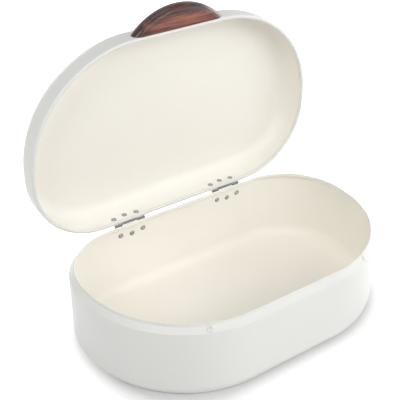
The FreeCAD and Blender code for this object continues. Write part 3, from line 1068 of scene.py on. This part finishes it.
@dataclass
class Bumpers:
    """Two soft clear domes on the shoulder, where the closed rim comes down."""

    shells: Shells = field(default_factory=Shells)
    across: float = 7.6
    angle: float = 23.0             # from straight ahead, round the front corner
    edge: float = 0.4               # upright edge below the dome
    gap: float = 0.3                # to the closed rim
    turn_steps: int = 48
    dome_steps: int = 10
    sink: float = 0.25              # how far the flat back is let into the curved shoulder

    def build(self, finish: bpy.types.Material) -> None:
        """Build both domes as one piece and dress them.

        Args:
            finish: the silicone.
        """
        s = self.shells
        slope = math.atan2(s.shoulder_rise, s.shoulder_in)
        bead_r = s.bead / 2
        inset, above = bead_r - s.lid_outset, s.lid_lift + bead_r
        high = above * math.cos(slope) - inset * math.sin(slope) - bead_r - self.gap
        along = inset * math.cos(slope) + above * math.sin(slope)
        heading = math.radians(270.0 + self.angle)
        half = self.across / 2
        outline = [(0.0, -self.sink), (half, -self.sink), (half, self.edge)]
        outline += dome_points(half, self.edge, high, self.dome_steps)
        front = s.plan.front_corner
        work = bmesh.new()
        for side in (-1, 1):
            out = Vector((side * math.cos(heading), math.sin(heading), 0))
            centre = Vector((side * (s.plan.length / 2 - front), front - s.plan.width / 2, 0))
            spot = centre + out * (front - along * math.cos(slope))
            spot.z = s.crease + along * math.sin(slope)
            normal = out * math.sin(slope) + Vector((0, 0, math.cos(slope)))
            dome = turned("bumper_seed", outline, steps=self.turn_steps, axis=normal)
            dome.transform(Matrix.Translation(spot * MM))
            work.from_mesh(dome)
        domes = new_object("bumper_domes", bpy.data.meshes.new("bumper_domes"))
        work.to_mesh(domes.data)
        work.free()
        domes.data.materials.append(finish)
        settle(domes, Body.BASE, Slot.SILICONE, "bumper_left", "bumper_right")


# ---- studio ----------------------------------------------------------------
@dataclass(frozen=True)
class Softbox:
    """A large soft square lamp, aimed at the box from a direction."""

    name: str
    azimuth: float              # degrees from straight ahead, towards +X
    elevation: float            # degrees
    watts: float
    size: float = 1.2           # metres
    distance: float = 2.4       # metres from what it is aimed at
    aim: tuple[float, float, float] = (0.0, 0.0, 0.15)

    def build(self) -> None:
        """Hang the lamp."""
        lamp = bpy.data.lights.new(self.name, "AREA")
        lamp.shape, lamp.size, lamp.energy = "SQUARE", self.size, self.watts
        holder = bpy.data.objects.new(self.name, lamp)
        across, up = math.radians(self.azimuth), math.radians(self.elevation)
        away = Vector((math.sin(across) * math.cos(up), -math.cos(across) * math.cos(up),
                       math.sin(up)))
        holder.location = Vector(self.aim) + away * self.distance
        holder.rotation_euler = away.to_track_quat("Z", "Y").to_euler()
        bpy.context.scene.collection.objects.link(holder)


@dataclass
class Studio:
    """White table, soft lamps and the camera. Places are in metres."""

    camera_place: tuple[float, float, float] = (-0.5301, -0.68751, 0.69718)
    azimuth: float = -34.807        # degrees
    elevation: float = 31.55
    roll: float = -0.321
    lens: float = 77.894            # millimetres
    sensor: float = 36.0
    clip: tuple[float, float] = (0.05, 30.0)
    table_radius: float = 6.0
    table_sides: int = 96
    table_colour: str = "#E6E6E6"
    # the patch of table where the painted glow is weak and the box's real shadow shows, a
    # rounded rectangle
    shadow_half: tuple[float, float] = (0.188, 0.120)   # half its length and width
    shadow_shift: tuple[float, float, float] = (-0.005, -0.006, 0.0)    # its middle
    shadow_corner: float = 0.110
    shadow_core: float = 0.010      # how far inside its edge the white begins to come in
    shadow_wide: float = 0.052      # from its edge to where the table is plain white
    lamps: tuple[Softbox, ...] = (
        Softbox("key", 6.0, 30.0, 22.2, size=1.5),
        Softbox("front_low_right", 52.0, 14.0, 25.0, size=2.0),
        Softbox("right", 100.0, 12.0, 21.0),
        Softbox("left", -120.0, 12.0, 11.5),
        Softbox("front_left", -60.0, 40.0, 21.5),
        Softbox("back", 180.0, 12.0, 11.0),
        Softbox("above", 0.0, 89.0, 10.5),
    )

    def seen(self, tree: bpy.types.NodeTree) -> bpy.types.NodeSocket:
        """Tell looking rays from lighting rays.

        Args:
            tree: the tree to work in.

        Returns:
            A socket that is 1 for camera, glossy and transmission rays.
        """
        path = add(tree, "ShaderNodeLightPath")
        first = add(tree, "ShaderNodeMath",
                    {0: path.outputs["Is Camera Ray"], 1: path.outputs["Is Glossy Ray"]},
                    operation="MAXIMUM")
        return add(tree, "ShaderNodeMath",
                   {0: first.outputs[0], 1: path.outputs["Is Transmission Ray"]},
                   operation="MAXIMUM").outputs[0]

    def surroundings(self) -> None:
        """Make the world white to look at, with no light of its own on the box."""
        world = bpy.data.worlds.new("white studio")
        bpy.context.scene.world = world
        world.use_nodes = True
        tree = world.node_tree
        tree.nodes.clear()
        light = add(tree, "ShaderNodeBackground",
                    {"Color": (1, 1, 1, 1), "Strength": self.seen(tree)})
        add(tree, "ShaderNodeOutputWorld", {"Surface": light.outputs[0]})

    def table(self) -> None:
        """Lay the table: near the box it takes the real shadow, further out a painted glow
        lifts it to plain white.
        """
        material, tree, place = new_material("matt white table")
        seen = self.seen(tree)
        moved = add(tree, "ShaderNodeVectorMath", {0: place, 1: self.shadow_shift},
                    operation="SUBTRACT")
        folded = add(tree, "ShaderNodeVectorMath", {0: moved.outputs[0]}, operation="ABSOLUTE")
        inner = (*(half - self.shadow_corner for half in self.shadow_half), 0.0)
        past = add(tree, "ShaderNodeVectorMath", {0: folded.outputs[0], 1: inner},
                   operation="SUBTRACT")
        outer = add(tree, "ShaderNodeVectorMath", {0: past.outputs[0], 1: (0.0, 0.0, 0.0)},
                    operation="MAXIMUM")
        away = add(tree, "ShaderNodeVectorMath", {0: outer.outputs[0]}, operation="LENGTH")
        # painted light: a glow, seen by camera, glossy and transmission rays, that grows away
        # from the patch and lifts the table to white; the shifted patch sets where the real
        # shadow shows
        lift = add(tree, "ShaderNodeMapRange",
                   {"Value": away.outputs["Value"],
                    "From Min": self.shadow_corner - self.shadow_core,
                    "From Max": self.shadow_corner + self.shadow_wide})
        shown = add(tree, "ShaderNodeMath", {0: lift.outputs["Result"], 1: seen},
                    operation="MULTIPLY")
        matt = add(tree, "ShaderNodeBsdfDiffuse", {"Color": linear(self.table_colour)})
        glow = add(tree, "ShaderNodeEmission",
                   {"Color": (1, 1, 1, 1), "Strength": shown.outputs[0]})
        both = add(tree, "ShaderNodeAddShader", {0: matt.outputs[0], 1: glow.outputs[0]})
        add(tree, "ShaderNodeOutputMaterial", {"Surface": both.outputs[0]})
        work = bmesh.new()
        bmesh.ops.create_circle(work, cap_ends=True, radius=self.table_radius,
                                segments=self.table_sides)
        table = new_object("table", bpy.data.meshes.new("table"))
        work.to_mesh(table.data)
        work.free()
        table.data.materials.append(material)

    def camera(self) -> None:
        """Set up the camera."""
        lens = bpy.data.cameras.new("camera")
        lens.lens, lens.sensor_width = self.lens, self.sensor
        lens.clip_start, lens.clip_end = self.clip
        holder = bpy.data.objects.new("camera", lens)
        turn = (Matrix.Rotation(math.radians(self.azimuth), 4, "Z")
                @ Matrix.Rotation(math.radians(90.0 - self.elevation), 4, "X")
                @ Matrix.Rotation(math.radians(self.roll), 4, "Z"))
        holder.matrix_world = Matrix.Translation(self.camera_place) @ turn
        bpy.context.scene.collection.objects.link(holder)
        bpy.context.scene.camera = holder

    def build(self) -> None:
        """Build the whole studio."""
        self.surroundings()
        self.table()
        for lamp in self.lamps:
            lamp.build()
        self.camera()
        bpy.context.scene.view_settings.view_transform = "Standard"
        LOG.info("studio with %d lamps", len(self.lamps))


def main() -> None:
    """Build and dress the bread box, then the studio round it."""
    logging.basicConfig(level=logging.INFO, format="%(name)s: %(message)s")
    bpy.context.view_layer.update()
    coat = PowderCoat().material()
    walnut = VarnishedWalnut().material()
    hinge_steel = PlatedSteel("plated hinge steel", "#A8A49E", "#928E88",
                              roughness=0.22).material()
    rivet_steel = PlatedSteel("plated rivet steel", "#ADA9A2", "#928E87",
                              roughness=0.3, stretch=(1.0, 1.0, 1.0)).material()
    screw_steel = PlatedSteel("plated screw steel", "#B9B4AC", "#948E86",
                              roughness=0.26, stretch=(1.0, 1.0, 1.0)).material()
    silicone = ClearSilicone().material()
    fasteners = fastener_tree()
    Shells().build(coat)
    Grip().build(walnut, screw_steel, fasteners)
    Hinges().build(hinge_steel, rivet_steel, fasteners)
    Bumpers().build(silicone)
    Studio().build()


if __name__ == "__main__":
    main()
